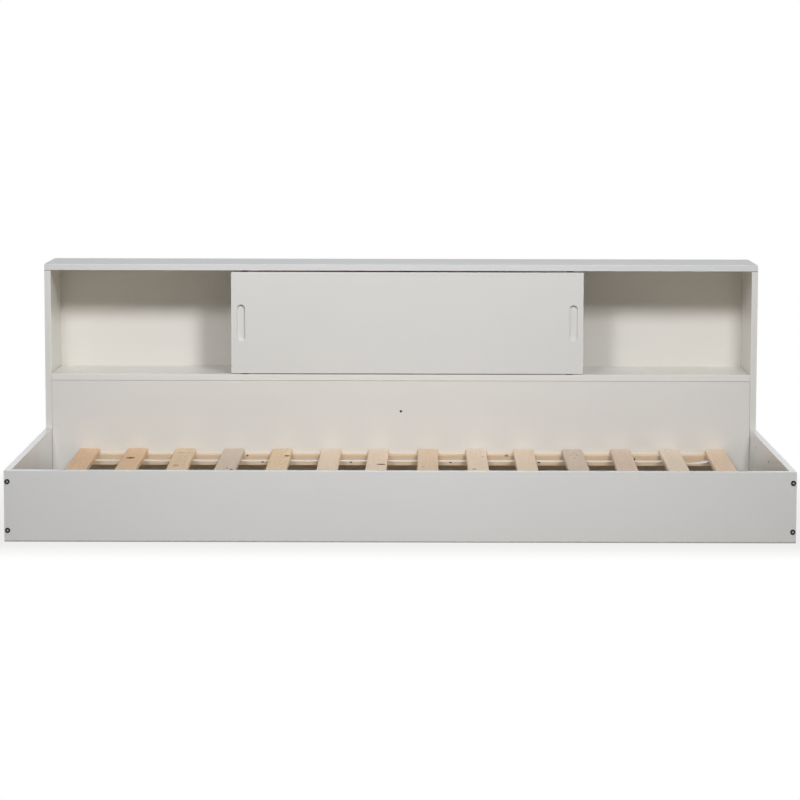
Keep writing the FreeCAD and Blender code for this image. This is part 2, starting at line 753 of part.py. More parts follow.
def door_guides(label, reach, level, up):
    """Two plastic guides plugged into an edge of the door, with tongues that run in a groove."""
    guide = Piece(f"{label}_pattern")
    half_length, half_width = size.guide_length / 2, size.guide_width / 2
    guide.block((-half_length, -half_width, ZERO), (half_length, half_width, size.guide_flange), "z")
    tongue = guide.sketch("z", size.guide_flange)
    half_tongue = (size.tongue_length / 2, size.tongue_width / 2)
    rectangle(tongue, (-half_tongue[0], -half_tongue[1]), half_tongue)
    guide.add("Pad", tongue, "z", size.guide_flange, reach)
    plug = guide.sketch("z", ZERO)
    circle(plug, (ZERO, ZERO), size.plug_diameter)
    guide.add("Pad", plug, "z", ZERO, -size.plug_length)
    places = [
        (
            (size.door_shift + (half_door - size.guide_inset) * side, cabinet_front + door_middle, level),
            turn((0, 0, up), (1, 0, 0)),
        )
        for side in SIDES
    ]
    copies(label, guide, places)


def corner_bolts():
    """Flat-headed bolts through the front rail, with hexagon sockets."""
    radius = size.bolt_diameter / 2
    head = size.bolt_head_diameter / 2
    top = -size.bolt_head_height
    bolt = turned(
        "corner_bolt",
        [
            (ZERO, top),
            (head - size.bolt_head_round, top),
            (head, top + size.bolt_head_round),
            (head, ZERO),
            (radius, ZERO),
            (radius, size.bolt_length),
            (ZERO, size.bolt_length),
        ],
    )
    socket = bolt.sketch("z", top)
    outline(socket, hexagon(size.socket_width))
    bolt.add("Pocket", socket, "z", top, top + size.socket_depth)
    cap = Piece("bolt_socket_cap")
    plug = cap.sketch("z", top)
    outline(plug, hexagon(size.socket_width - 2 * size.socket_play))
    cap.add("Pad", plug, "z", top, top + size.socket_depth - size.socket_play)
    places = [
        ((board_middle * side, front, height), lean((0, 1, 0))) for side in SIDES for height in bolt_heights
    ]
    copies("corner_bolts", bolt, places)
    copies("bolt_socket_caps", cap, places)


def barrel_nuts():
    """Cross nuts in the end panels, slotted on the inside so that they can be lined up."""
    radius = size.nut_diameter / 2
    half = size.nut_length / 2
    nut = turned("barrel_nut", [(ZERO, -half), (radius, -half), (radius, half), (ZERO, half)])
    thread = size.bolt_diameter + 2 * size.nut_play
    nut.drill("x", [(ZERO, ZERO)], thread, -size.nut_diameter, size.nut_diameter)
    slot = size.cam_recess_width / 2
    reach = size.nut_diameter
    nut.mill("z", (-reach, -slot), (reach, slot), half, half - size.drive_recess_depth)
    places = [
        ((board_middle * side, rail_back + size.nut_inset, height), turn((-side, 0, 0), (0, 1, 0)))
        for side in SIDES
        for height in bolt_heights
    ]
    copies("barrel_nuts", nut, places)


def cam_joints():
    """Every cam joint: where its bolt leaves its board, the bolt's way, and the cam face's way."""
    joints = []
    for side in SIDES:
        inward = (-side, 0, 0)
        for height in bolt_heights:
            joints.append(((board_middle * side, cabinet_front, height), (0, -1, 0), inward))
        for along in fitting_depths:
            at = cabinet_front + along
            joints.append(((board_middle * side, at, side_top), (0, 0, -1), inward))
            joints.append(((half_inside * side, at, shelf_middle), inward, (0, 0, -1)))
        for height in lower_cam_heights:
            at = cabinet_front + lower_panel_middle
            joints.append(((half_inside * side, at, height), inward, (0, 1, 0)))
    return joints


def shifted(at, distance, direction):
    """A place moved by a distance along one of the six main directions."""
    return tuple(start + distance * step if step else start for start, step in zip(at, direction))


def cam_fittings():
    """Cam discs let into the boards, and the bolts whose heads they draw in."""
    shank = size.cam_bolt_diameter / 2
    head = size.cam_bolt_head_diameter / 2
    thread = size.cam_thread_diameter / 2
    neck = size.cam_inset - size.cam_bolt_head_length / 2
    tip = size.cam_inset + size.cam_bolt_head_length / 2
    bolt = turned(
        "cam_bolt",
        [
            (ZERO, -size.cam_bite),
            (thread, -size.cam_bite),
            (thread, ZERO),
            (shank, ZERO),
            (shank, neck),
            (head, neck),
            (head, tip),
            (ZERO, tip),
        ],
    )
    radius = size.cam_diameter / 2
    foot = -cam_thickness
    disc = turned("cam_disc", [(ZERO, foot), (radius, foot), (radius, ZERO), (ZERO, ZERO)])
    far = size.cam_bolt_head_length / 2 + size.cam_bolt_play
    disc.drill("x", [(ZERO, -half_board)], cam_bolt_hole, -size.cam_diameter, far)
    length, width = size.cam_recess_length / 2, size.cam_recess_width / 2
    for low, high in (((-length, -width), (length, width)), ((-width, -length), (width, length))):
        disc.mill("z", low, high, ZERO, -size.cam_recess_depth)
    bolts, discs = [], []
    for at, way, face in cam_joints():
        bolts.append((at, lean(way)))
        centre = shifted(shifted(at, size.cam_inset, way), half_board, face)
        discs.append((centre, turn(face, way)))
    copies("cam_bolts", bolt, bolts)
    copies("cam_discs", disc, discs)


def dowels():
    """Beech dowels with chamfered ends, the longer part in the board that is drilled on edge."""
    radius = size.dowel_diameter / 2
    tip = radius - size.dowel_chamfer
    low, high = -size.dowel_face_depth, size.dowel_edge_depth
    dowel = turned(
        "dowel",
        [
            (ZERO, low),
            (tip, low),
            (radius, low + size.dowel_chamfer),
            (radius, high - size.dowel_chamfer),
            (tip, high),
            (ZERO, high),
        ],
    )
    bed, cabinet = [], []
    for side in SIDES:
        bed.append(((board_middle * side, rail_back, box_middle), lean((0, 1, 0))))
        bed.append(((board_middle * side, cabinet_front, box_middle), lean((0, -1, 0))))
        inward = lean((-side, 0, 0))
        middle = cabinet_front + fitting_middle
        cabinet.append(((board_middle * side, middle, side_top), lean((0, 0, -1))))
        cabinet.append(((half_inside * side, middle, shelf_middle), inward))
        cabinet.append(
            ((half_inside * side, cabinet_front + lower_panel_middle, lower_dowel_height), inward)
        )
    centre = []
    for along in fitting_depths:
        centre.append(((ZERO, cabinet_front + along, shelf_top), lean((0, 0, 1))))
        centre.append(((ZERO, cabinet_front + along, side_top), lean((0, 0, -1))))
    for along in support_depths:
        centre.append(((ZERO, cabinet_front + along, shelf_bottom), lean((0, 0, -1))))
    copies("bed_dowels", dowel, bed)
    copies("cabinet_dowels", dowel, cabinet)
    copies("divider_dowels", dowel, centre)


def countersunk_screws(label, diameter, head, length, places):
    """Screws with flush conical heads and a cross recess."""
    radius, rim = diameter / 2, head / 2
    screw = turned(
        f"{label}_pattern",
        [(ZERO, ZERO), (rim, ZERO), (radius, rim - radius), (radius, length), (ZERO, length)],
    )
    arm, width = head * DRIVE_LENGTH_SHARE / 2, size.drive_recess_width / 2
    for low, high in (((-arm, -width), (arm, width)), ((-width, -arm), (width, arm))):
        screw.mill("z", low, high, ZERO, size.drive_recess_depth)
    copies(label, screw, places)


def screws():
    """All the countersunk screws: in the battens, the back panel and the middle of the lower panel."""
    level = batten_bottom + batten_screw_height
    back_face = lower_panel_front - size.batten_depth
    front_face = rail_back + size.batten_depth
    forward, backward = lean((0, 1, 0)), lean((0, -1, 0))
    battens = [((across, back_face, level), forward) for across in batten_screw_places]
    battens += [((across, front_face, level), backward) for across in batten_screw_places]
    countersunk_screws(
        "batten_screws",
        size.batten_screw_diameter,
        size.batten_screw_head,
        size.batten_depth + size.batten_screw_bite,
        battens,
    )
    panel = [((across, cabinet_back, up), backward) for across, up in panel_screw_centres()]
    countersunk_screws(
        "back_panel_screws",
        size.panel_screw_diameter,
        size.panel_screw_head,
        size.back_panel_thickness + size.panel_screw_bite,
        panel,
    )
    countersunk_screws(
        "centre_screw",
        size.centre_screw_diameter,
        size.centre_screw_head,
        size.board + size.centre_screw_bite,
        [((ZERO, lower_panel_front, centre_screw_height), forward)],
    )


def check_document():
    """Stop if any object failed, any cut took nothing away, or any piece has no sound shape."""
    for item in doc.Objects:
        if {"Invalid", "Error"} & set(item.State):
            raise RuntimeError(f"{item.Label} failed: {item.State}")
        if item.TypeId in ("PartDesign::Pocket", "PartDesign::Hole"):
            removed = item.BaseFeature.Shape.Volume - item.Shape.Volume
            if removed <= 0:
                raise RuntimeError(f"{item.Label} of {item.getParentGeoFeatureGroup().Label} cuts nothing")
    for item in finished:
        if item.Shape.isNull() or not item.Shape.isValid():
            raise RuntimeError(f"{item.Label} has no sound shape")


front_rail()
end_panel("left_end_panel", -1)
end_panel("right_end_panel", 1)
batten("front_batten", size.batten_depth, ZERO, rail_back)
batten("back_batten", ZERO, size.batten_depth, lower_panel_front - size.batten_depth)
for slat_number in range(slat_count):
    slat(slat_number)
for ribbon_label, ribbon_place in zip(("front_ribbon", "back_ribbon"), ribbon_places):
    ribbon(ribbon_label, ribbon_place)
ribbon_staples()
cabinet_side("cabinet_left_side", -1)
cabinet_side("cabinet_right_side", 1)
cabinet_top()
cabinet_shelf()
lower_panel()
centre_divider()
centre_support()
cabinet_back_panel()
sliding_door()
door_guides(
    "door_bottom_glides",
    size.door_bottom_gap + size.shelf_groove_depth - size.tongue_lift,
    shelf_top + size.door_bottom_gap,
    -1,
)
door_guides(
    "door_top_guides",
    size.door_top_gap + size.top_groove_depth - size.tongue_lift,
    side_top - size.door_top_gap,
    1,
)
corner_bolts()
barrel_nuts()
cam_fittings()
dowels()
screws()

doc.recompute()
check_document()
os.makedirs("parts", exist_ok=True)
for item in finished:
    item.Shape.exportStep(f"parts/{item.Label}.step")
    print(f"{item.Label}: {len(item.Shape.Solids)} solids, {item.Shape.Volume / 1000:.1f} cm3")
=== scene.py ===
import math
import random

import bmesh
import bpy
from mathutils import Matrix, Vector


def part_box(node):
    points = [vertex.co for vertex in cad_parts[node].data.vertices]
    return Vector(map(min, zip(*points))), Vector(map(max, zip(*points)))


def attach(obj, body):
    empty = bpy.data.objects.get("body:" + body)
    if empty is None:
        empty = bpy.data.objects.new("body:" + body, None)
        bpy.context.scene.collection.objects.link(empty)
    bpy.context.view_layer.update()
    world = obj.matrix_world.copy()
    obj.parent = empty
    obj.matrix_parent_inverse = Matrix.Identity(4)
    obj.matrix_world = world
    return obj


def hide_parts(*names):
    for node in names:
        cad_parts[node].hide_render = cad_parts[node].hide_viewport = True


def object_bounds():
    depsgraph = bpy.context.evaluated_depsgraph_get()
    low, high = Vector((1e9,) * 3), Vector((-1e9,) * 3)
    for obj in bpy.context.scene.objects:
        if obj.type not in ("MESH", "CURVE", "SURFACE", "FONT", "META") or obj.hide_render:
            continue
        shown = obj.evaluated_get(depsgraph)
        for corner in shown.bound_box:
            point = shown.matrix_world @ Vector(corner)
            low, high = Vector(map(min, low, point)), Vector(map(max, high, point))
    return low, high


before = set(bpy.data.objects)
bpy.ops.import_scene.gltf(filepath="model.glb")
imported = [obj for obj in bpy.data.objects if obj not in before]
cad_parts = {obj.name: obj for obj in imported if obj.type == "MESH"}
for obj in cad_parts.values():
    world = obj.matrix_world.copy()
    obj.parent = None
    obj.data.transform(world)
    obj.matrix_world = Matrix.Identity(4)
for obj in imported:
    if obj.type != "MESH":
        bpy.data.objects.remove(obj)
cad_low, cad_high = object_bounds()


# Front rail and end panels
# The low box round the mattress: three 18 mm boards with eased arrises, sprayed with an off-white
# satin paint. They stand on the floor and are bolted and dowelled together at the corners.

def chart(red, green, blue):
    """A colour as a paint chart gives it, 0 to 255, turned into what a shader's socket takes."""
    return (*(((part / 255 + 0.055) / 1.055) ** 2.4 for part in (red, green, blue)), 1.0)


class Value:
    """A socket of a material's nodes. Sums on it add Math nodes."""

    def __init__(self, socket):
        self.socket = socket

    def node(self, kind, settings, inputs, output=0):
        """Add a node of a type, with its settings, then the values or links of its sockets."""
        tree = self.socket.id_data
        added = tree.nodes.new("ShaderNode" + kind)
        for name, setting in settings.items():
            setattr(added, name, setting)
        for name, given in inputs.items():
            if isinstance(given, Value):
                tree.links.new(given.socket, added.inputs[name])
            else:
                added.inputs[name].default_value = given
        return Value(added.outputs[output])

    def maths(self, operation, *terms):
        """A Math node on the terms, or on this value where none are given."""
        return self.node("Math", {"operation": operation}, dict(enumerate(terms or (self,))))

    def __add__(self, other):
        return self.maths("ADD", self, other)

    def __sub__(self, other):
        return self.maths("SUBTRACT", self, other)

    def __rsub__(self, other):
        return self.maths("SUBTRACT", other, self)

    def __mul__(self, other):
        return self.maths("MULTIPLY", self, other)

    def __truediv__(self, other):
        return self.maths("DIVIDE", self, other)

    def __pow__(self, other):
        return self.maths("POWER", self, other)

    __radd__ = __add__
    __rmul__ = __mul__

    def least(self, other):
        return self.maths("MINIMUM", self, other)

    def most(self, other):
        return self.maths("MAXIMUM", self, other)

    def rise(self, low, high):
        """0 below low and 1 above high, with a soft step between; high may be the lower one."""
        limits = {"Value": self, "From Min": low, "From Max": high}
        return self.node("MapRange", {"interpolation_type": "SMOOTHSTEP"}, limits)

    def vector(self, operation, *others, output=0):
        """A Vector Math node on this value and any others."""
        terms = dict(enumerate((self, *others)))
        return self.node("VectorMath", {"operation": operation}, terms, output)

    def axes(self):
        """The three parts of a vector."""
        split = self.node("SeparateXYZ", {}, {"Vector": self}).socket.node
        return [Value(part) for part in split.outputs]

    def noise(self, turns, detail=3.0, rough=0.5):
        """Noise from -0.5 to 0.5; turns is how often it turns over per metre, or that on each axis."""
        spread = self.vector("MULTIPLY", turns if isinstance(turns, tuple) else (turns,) * 3)
        sockets = {"Vector": spread, "Scale": 1.0, "Detail": detail, "Roughness": rough}
        return self.node("TexNoise", {}, sockets) - 0.5

    def mix(self, first, second):
        """Two colours mixed by this value, 0 for the first and 1 for the second."""
        return self.node("Mix", {"data_type": "RGBA"}, {0: self, 6: first, 7: second}, output=2)

    def bump(self, depth):
        return self.node("Bump", {}, {"Height": self, "Strength": 1.0, "Distance": depth})


def new_material(name, **constants):
    """A material with plain numbers on its shader, and the piece's own coordinates in metres."""
    material = bpy.data.materials.new(name)
    material.use_nodes = True
    nodes = material.node_tree.nodes
    shader = nodes["Principled BSDF"]
    sockets = {"metallic": "Metallic", "gloss": "Specular IOR Level", "sheen": "Sheen Weight"}
    for constant, number in constants.items():
        shader.inputs[sockets[constant]].default_value = number
    return material, shader, Value(nodes.new("ShaderNodeTexCoord").outputs["Object"])


def feed(shader, colour, roughness, normal):
    """Link what varies over a surface."""
    sockets = {"Base Color": colour, "Roughness": roughness, "Normal": normal}
    for socket, value in sockets.items():
        shader.id_data.links.new(value.socket, shader.inputs[socket])


def dress(node, material):
    """Give a node of the frame its finish."""
    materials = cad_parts[node].data.materials
    materials.clear()
    materials.append(material)


PAINT = chart(240, 238, 232)
PAINT_SHADED = chart(235, 233, 227)
PAINTED_ARRIS_HIGHLIGHT = chart(250, 249, 246)
PRIMER = chart(203, 186, 160)
FOOT_DARKENING = chart(150, 140, 130)
JOINT_SHADOW = chart(70, 60, 51)
PAINT_ROUGHNESS = 0.22
PAINT_GLOSS = 0.5
PAINT_RELIEF = 0.00005
GRAIN_ALONG = 5.0
GRAIN_ACROSS = 260.0
ARRIS_HIGHLIGHT_REACH = (0.0022, 0.0006)
RUB_REACH = (0.0014, 0.0004)
FOOT_DARKENING_HEIGHT = (0.0045, 0.0015)
FOOT_DARKENING_RAGGED = 0.004
BORE_GRIME_AND_SHADE = (0.0048, 0.00384)
SHADOW_DEPTH = 0.9


def painted(node, pale=PAINT, shaded=PAINT_SHADED, joints=(), bores=(), dust=0.0):
    """Satin paint on one board: faint grain along it, roller texture, rubbed arrises with a painted
    highlight along them, and darker along its foot.
    A joint is an axis, the board's side on it, 1 or -1, that meets another board, and the width of
    the dark line there. A bore is the middle of an open hole's mouth; the hole is painted dark inside
    as shade, with grime round its mouth. Dust dulls the gloss."""
    low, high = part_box(node)
    half = (high - low) / 2
    material, shader, place = new_material(f"paint_{node}", gloss=PAINT_GLOSS - dust)
    from_middle = place.vector("SUBTRACT", (low + high) / 2)
    reach = from_middle.vector("ABSOLUTE")
    to_sides = reach.node("VectorMath", {"operation": "SUBTRACT"}, {0: half, 1: reach})
    across, deep, up = to_sides.axes()
    to_arris = across.least(deep).most(across.most(deep).least(up))

    longest = max(half)
    turns = tuple(GRAIN_ALONG if length == longest else GRAIN_ACROSS for length in half)
    cloud = place.noise(2.2, detail=2.0)
    grain = place.noise(turns, detail=4.0, rough=0.6)
    roller = place.noise(520.0, detail=1.0)
    ragged = place.noise(90.0, detail=4.0, rough=0.7)

    tone = (cloud * 0.9 + grain * 0.35 + 0.5).rise(0.0, 1.0)
    worn = to_arris.rise(*RUB_REACH) * (ragged + cloud * 0.6).rise(0.14, 0.34)
    height = place.axes()[2]
    # Darker along the bottom few millimetres of each board that stands on the floor.
    darker_foot = (height + ragged * FOOT_DARKENING_RAGGED).rise(*FOOT_DARKENING_HEIGHT)
    colour = tone.mix(shaded, pale)
    # Painted highlight: every arris is lightened as if it caught the light.
    colour = (to_arris.rise(*ARRIS_HIGHLIGHT_REACH) * 0.6).mix(colour, PAINTED_ARRIS_HIGHLIGHT)
    colour = (worn * 0.55).mix(colour, PRIMER)
    colour = (darker_foot * 0.6).mix(colour, FOOT_DARKENING)
    for axis, side, width in joints:
        to_joint = half[axis] - from_middle.axes()[axis] * side
        colour = (to_joint.rise(width, width / 2) * SHADOW_DEPTH).mix(colour, JOINT_SHADOW)
    # Painted shade inside each open hole, with grime round its mouth.
    for mouth in bores:
        to_bore = place.vector("DISTANCE", mouth, output="Value")
        colour = (to_bore.rise(*BORE_GRIME_AND_SHADE) * SHADOW_DEPTH).mix(colour, JOINT_SHADOW)
    roughness = cloud * 0.12 + roller * 0.06 + worn * 0.2 + PAINT_ROUGHNESS + dust
    feed(shader, colour, roughness, (grain * 0.6 + roller * 0.4).bump(PAINT_RELIEF))
    return material


END_JOINTS = ((1, 1, 0.0008), (1, -1, 0.0006))
SPARE_HOLES = ((1.012, -0.130, 0.153), (1.012, 0.185, 0.153))

dress("front_rail", painted("front_rail"))
dress("left_end_panel", painted("left_end_panel", joints=END_JOINTS))
dress("right_end_panel", painted("right_end_panel", joints=END_JOINTS, bores=SPARE_HOLES))


# Corner bolts, socket caps, cross nuts and dowels of the box
# Black flat-headed steel bolts go through the rail into cross nuts inside the end panels. A light
# grey plastic cap is pushed into each hexagon socket, and beech dowels keep the boards in line.

BLACK_STEEL = chart(38, 39, 41)
BARE_STEEL = chart(120, 122, 125)
STEEL_METALLIC = 0.7
STEEL_ROUGHNESS = 0.42
STEEL_BLOTCHES = 400.0
STEEL_RELIEF = 0.00003


def blacked_steel():
    """Chemically blackened steel, slightly blotchy, with bright specks where it is rubbed."""
    material, shader, place = new_material("black_steel", metallic=STEEL_METALLIC)
    blotch = place.noise(STEEL_BLOTCHES)
    speck = place.noise(2600.0, detail=2.0).rise(0.16, 0.3)
    colour = (speck * 0.35).mix(BLACK_STEEL, BARE_STEEL)
    roughness = blotch * 0.25 + STEEL_ROUGHNESS
    feed(shader, colour, roughness, (blotch + speck * 0.3).bump(STEEL_RELIEF))
    return material


PLASTIC_ROUGHNESS = 0.5
PLASTIC_RELIEF = 0.00003


def moulded(name, colour, dark):
    """Injection-moulded plastic: fine spark-eroded texture and a slight mottle."""
    material, shader, place = new_material(name)
    spark = place.noise(3200.0, detail=2.0)
    mottle = place.noise(300.0, detail=2.0)
    roughness = spark * 0.2 + PLASTIC_ROUGHNESS
    feed(shader, (mottle + 0.5).mix(dark, colour), roughness, spark.bump(PLASTIC_RELIEF))
    return material


ZINC = chart(196, 199, 200)
ZINC_DULL = chart(150, 152, 150)
ZINC_ROUGHNESS = 0.3
ZINC_RELIEF = 0.00002


def zinc_plated():
    """Bright zinc plating: crystal mottle, duller where it has been handled."""
    material, shader, place = new_material("zinc_steel", metallic=1.0)
    crystal = place.noise(900.0, rough=0.65)
    dull = place.noise(140.0, detail=2.0).rise(-0.1, 0.25)
    roughness = crystal * 0.2 + dull * 0.15 + ZINC_ROUGHNESS
    feed(shader, dull.mix(ZINC, ZINC_DULL), roughness, crystal.bump(ZINC_RELIEF))
    return material


BEECH = chart(206, 164, 118)
BEECH_DARK = chart(170, 122, 80)
BEECH_RAYS = (900.0, 120.0, 900.0)
BEECH_ROUGHNESS = 0.6
BEECH_RELIEF = 0.00005


def beech():
    """Beech dowel stock: short darker rays on an even ground."""
    material, shader, place = new_material("beech")
    ray = place.noise(BEECH_RAYS).rise(0.1, 0.3)
    ground = place.noise(60.0, detail=2.0)
    colour = (ray * 0.6 + ground * 0.4).mix(BEECH, BEECH_DARK)
    feed(shader, colour, ground * 0.1 + BEECH_ROUGHNESS, ray.bump(BEECH_RELIEF))
    return material


GREY_PLASTIC = (chart(188, 190, 190), chart(168, 170, 171))

black_steel = blacked_steel()
zinc = zinc_plated()
dowel_wood = beech()
dress("corner_bolts", black_steel)
dress("bolt_socket_caps", moulded("grey_plastic", *GREY_PLASTIC))
dress("barrel_nuts", zinc)
dress("bed_dowels", dowel_wood)


# Battens and their screws
# Two pine bearers, planed and left bare, screwed to the rail's back and the lower panel's front, with
# the slats' ends on them. The countersunk screws are black, and zinc-plated at the battens' ends.

class Timber:
    """What tells one stick of pine from another: its pale and dark wood, how strong its rings are,
    and its marks. A mark is its kind, its place along and across from the middle, its length and
    its width."""

    def __init__(self, seed, tone, contrast, marks):
        self.seed = seed
        self.pale, self.dark = tone
        self.contrast = contrast
        self.marks = marks


RING_SPACING = 0.0034
RING_WANDER = 0.02
RING_SWAY = 0.012
RING_RAGGED = 0.0025
KNOT_PUSH = 0.8
MARK_RAGGED_ALONG = 0.003
MARK_RAGGED_ACROSS = 0.002
KNOT = chart(126, 78, 42)
KNOT_HEART = chart(66, 38, 22)
SPLIT = chart(74, 46, 26)
FAINT_KNOT = 0.45
PINE_GLOSS = 0.3
PINE_ROUGHNESS = 0.58
PINE_RELIEF = 0.00012
PITH_ACROSS = 0.035
PITH_DEPTH = (0.025, 0.06)
PITH_DRIFT = 0.045
NOISE_START = 9.0
END_GRAIN_REACH = (0.0012, 0.0003)


def along_grain(lengthways, crossways):
    """How often a noise turns over per metre along a stick and across it."""
    return lengthways, crossways, crossways


def pine(node, order, timber, turn=0.0):
    """Bare pine: growth rings about a pith outside the stick, knots, splits, fibres and end grain.
    The order names the axes along the stick, across its seen face and into it, once it is turned
    square."""
    low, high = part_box(node)
    middle = (low + high) / 2
    square = Matrix.Rotation(turn, 3, "Z")
    lengthwise = "xyz".index(order[0])
    corners = [square @ (vertex.co - middle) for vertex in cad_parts[node].data.vertices]
    half_length = max(corner[lengthwise] for corner in corners)
    draw = random.Random(timber.seed)
    pith_across = draw.uniform(-PITH_ACROSS, PITH_ACROSS)
    pith_depth = draw.uniform(*PITH_DEPTH)
    drift = draw.uniform(-PITH_DRIFT, PITH_DRIFT)
    start = Vector([draw.uniform(-NOISE_START, NOISE_START) for _ in range(3)])

    material, shader, place = new_material(f"pine_{node}", gloss=PINE_GLOSS)
    turning = {"Vector": place, "Center": middle, "Angle": turn}
    turned = place.node("VectorRotate", {"rotation_type": "Z_AXIS"}, turning)
    axes = dict(zip("xyz", turned.vector("SUBTRACT", middle).axes()))
    along, across, inward = (axes[letter] for letter in order)
    stick = place.node("CombineXYZ", {}, {"X": along, "Y": across, "Z": inward})
    moved = stick.vector("ADD", start)

    wander = moved.noise(along_grain(2.4, 16.0), detail=2.0)
    streak = moved.noise(along_grain(3.0, 110.0), detail=4.0, rough=0.65)
    sway = moved.noise(along_grain(5.0, 30.0), detail=2.0)
    side = across + wander * RING_WANDER - pith_across
    depth = inward + along * drift + sway * RING_SWAY + pith_depth
    radius = (side * side + depth * depth) ** 0.5 + streak * RING_RAGGED

    ragged = moved.noise(along_grain(60.0, 220.0), detail=2.0)
    knots = hearts = splits = along * 0.0
    for kind, mark_along, mark_across, length, width in timber.marks:
        run = (along + ragged * MARK_RAGGED_ALONG - mark_along) * (2 / length)
        offset = (across + ragged * MARK_RAGGED_ACROSS - mark_across) * (2 / width)
        away = (run * run + offset * offset) ** 0.5
        if kind == "split":
            splits = splits.most(away.rise(1.1, 0.8))
            continue
        radius = radius + away.rise(3.2, 0.0) * width * KNOT_PUSH
        darkness = 1.0 if kind == "knot" else FAINT_KNOT
        knots = knots.most(away.rise(1.1, 0.85) * darkness)
        if kind == "knot":
            hearts = hearts.most(away.rise(0.7, 0.2))

    ring = (radius / RING_SPACING).maths("FRACT")
    late = (ring ** 2.5) * ring.rise(1.0, 0.9)
    fibre = moved.noise(along_grain(14.0, 800.0), rough=0.6)
    pore = moved.noise(along_grain(70.0, 2200.0), detail=1.0).rise(0.2, 0.32)
    stain = moved.noise(along_grain(1.6, 9.0))
    end_grain = (half_length - along.maths("ABSOLUTE")).rise(*END_GRAIN_REACH)

    figure = late * timber.contrast + streak + fibre * 0.22 + pore * 0.12 + stain * 0.5
    colour = figure.rise(-0.15, 0.95).mix(timber.pale, timber.dark)
    colour = (knots * 0.75).mix(colour, KNOT)
    colour = (hearts * 0.8).mix(colour, KNOT_HEART)
    colour = (splits * 0.95).mix(colour, SPLIT)
    colour = (end_grain * 0.3).mix(colour, timber.dark)
    roughness = fibre * 0.15 + end_grain * 0.15 + knots.most(splits) * 0.35 + PINE_ROUGHNESS
    surface = fibre * 0.5 + late * 0.25 - pore * 0.3 - splits - hearts * 0.4
    feed(shader, colour, roughness, surface.bump(PINE_RELIEF))
    return material


BATTEN_TONE = (chart(240, 214, 180), chart(222, 186, 145))
BATTEN_CONTRAST = 0.5
FRONT_BATTEN_MARKS = (
    ("knot", -0.25, 0.004, 0.014, 0.010),
    ("knot", 0.62, -0.003, 0.012, 0.008),
)
BACK_BATTEN_MARKS = (
    ("knot", -0.444, 0.0125, 0.008, 0.005),
    ("split", 0.306, 0.0135, 0.014, 0.003),
    ("split", 0.676, 0.004, 0.006, 0.006),
)
BATTENS = (("front_batten", 8, FRONT_BATTEN_MARKS), ("back_batten", 3, BACK_BATTEN_MARKS))

for batten, seed, marks in BATTENS:
    dress(batten, pine(batten, "xzy", Timber(seed, BATTEN_TONE, BATTEN_CONTRAST, marks)))

END_SCREWS_FROM = 0.8
END_SCREWS_BLEND = 0.02


def batten_steel():
    """Blackened steel along the battens' middle and bright zinc at their ends."""
    material, shader, place = new_material("batten_steel", metallic=STEEL_METALLIC)
    blotch = place.noise(STEEL_BLOTCHES)
    along = place.axes()[0]
    plated = (along * along).rise(END_SCREWS_FROM ** 2, END_SCREWS_FROM ** 2 + END_SCREWS_BLEND)
    roughness = blotch * 0.25 + STEEL_ROUGHNESS
    feed(shader, plated.mix(BLACK_STEEL, ZINC), roughness, blotch.bump(STEEL_RELIEF))
    return material


dress("batten_screws", batten_steel())


# Slats
# Fourteen sanded pine slats laid loosely across the battens, none quite square. Each is sawn from
# another plank: some rosy, some straw-coloured or grey, with knots and splits in their upper faces.

TAN = (chart(241, 204, 164), chart(219, 172, 130))
STRAW = (chart(243, 216, 179), chart(222, 182, 139))
FAWN = (chart(238, 210, 178), chart(216, 177, 140))
CREAM = (chart(246, 222, 194), chart(229, 196, 164))
IVORY = (chart(250, 230, 205), chart(234, 206, 178))
ROSY = (chart(236, 210, 187), chart(216, 184, 158))
HONEY = (chart(250, 222, 191), chart(230, 195, 162))
GREY = (chart(225, 205, 182), chart(203, 179, 154))
SLATS = (
    (TAN, 0.45),
    (TAN, 0.5),
    (STRAW, 0.65),
    (GREY, 0.4),
    (STRAW, 0.6),
    (CREAM, 0.4),
    (CREAM, 0.4),
    (FAWN, 0.35),
    (CREAM, 0.4),
    (CREAM, 0.4),
    (GREY, 0.4),
    (ROSY, 0.4),
    (IVORY, 0.5),
    (HONEY, 0.5),
)
SLAT_MARKS = (
    (2, "knot", 0.236, -0.004, 0.042, 0.026),
    (3, "faint", 0.350, 0.016, 0.014, 0.022),
    (3, "faint", 0.352, -0.008, 0.020, 0.024),
    (3, "faint", 0.074, -0.006, 0.050, 0.018),
    (4, "split", -0.005, 0.019, 0.022, 0.010),
    (4, "knot", 0.020, 0.006, 0.020, 0.008),
    (5, "split", 0.287, 0.020, 0.030, 0.017),
    (7, "split", 0.107, 0.013, 0.024, 0.027),
    (8, "faint", 0.060, -0.013, 0.022, 0.008),
    (9, "faint", 0.274, 0.017, 0.030, 0.007),
    (9, "knot", 0.012, -0.011, 0.020, 0.014),
    (11, "faint", 0.319, -0.008, 0.024, 0.007),
    (11, "faint", 0.370, 0.002, 0.024, 0.007),
    (11, "faint", 0.319, 0.009, 0.024, 0.008),
    (11, "faint", 0.250, -0.002, 0.024, 0.006),
    (13, "knot", -0.280, 0.010, 0.020, 0.014),
    (14, "knot", -0.200, -0.012, 0.024, 0.018),
)
SLAT_SEED = 100
SLAT_END_REACH = 0.012


def slat_turn(node):
    """The angle that a slat lies askew by, from the middles of its two ends."""
    low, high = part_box(node)
    points = [vertex.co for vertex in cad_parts[node].data.vertices]
    front = [point.x for point in points if point.y < low.y + SLAT_END_REACH]
    back = [point.x for point in points if point.y > high.y - SLAT_END_REACH]
    drift = (min(back) + max(back) - min(front) - max(front)) / 2
    return math.atan(drift / (high.y - low.y))


